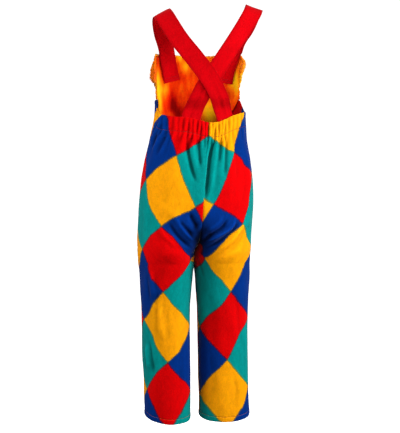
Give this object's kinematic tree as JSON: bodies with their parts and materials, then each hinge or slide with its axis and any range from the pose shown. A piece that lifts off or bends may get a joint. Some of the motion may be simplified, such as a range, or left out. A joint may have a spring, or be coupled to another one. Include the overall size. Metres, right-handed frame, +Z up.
{
  "type": "clown dungarees",
  "caption": "Child's clown dungarees with harlequin fleece trousers, a furry flame-dyed bib and red straps crossed at the back, in worn form with no wearer.",
  "frame": {"origin": "on the shoulder line, midway between the tops of the two straps", "axes": "+Z up the body, +Y to the wearer's front, +X to the wearer's right"},
  "size_m": [0.2784, 0.1821, 0.9111],
  "materials": {
    "printed_fleece": "brushed fleece printed with a harlequin of red, yellow, teal and blue diamonds",
    "dyed_bib": "brushed cloth dyed in flames of yellow, orange and red",
    "dyed_fur": "long pile dyed yellow, orange and red",
    "strap_cloth": "plain red fleece, doubled and turned"
  },
  "bodies": {
    "root": {"back_left": "printed_fleece", "back_right": "printed_fleece", "front_left": "printed_fleece", "front_right": "printed_fleece", "bib": "dyed_bib", "bib_fur": "dyed_fur", "strap_left": "strap_cloth", "strap_right": "strap_cloth"}
  },
  "joints": []
}
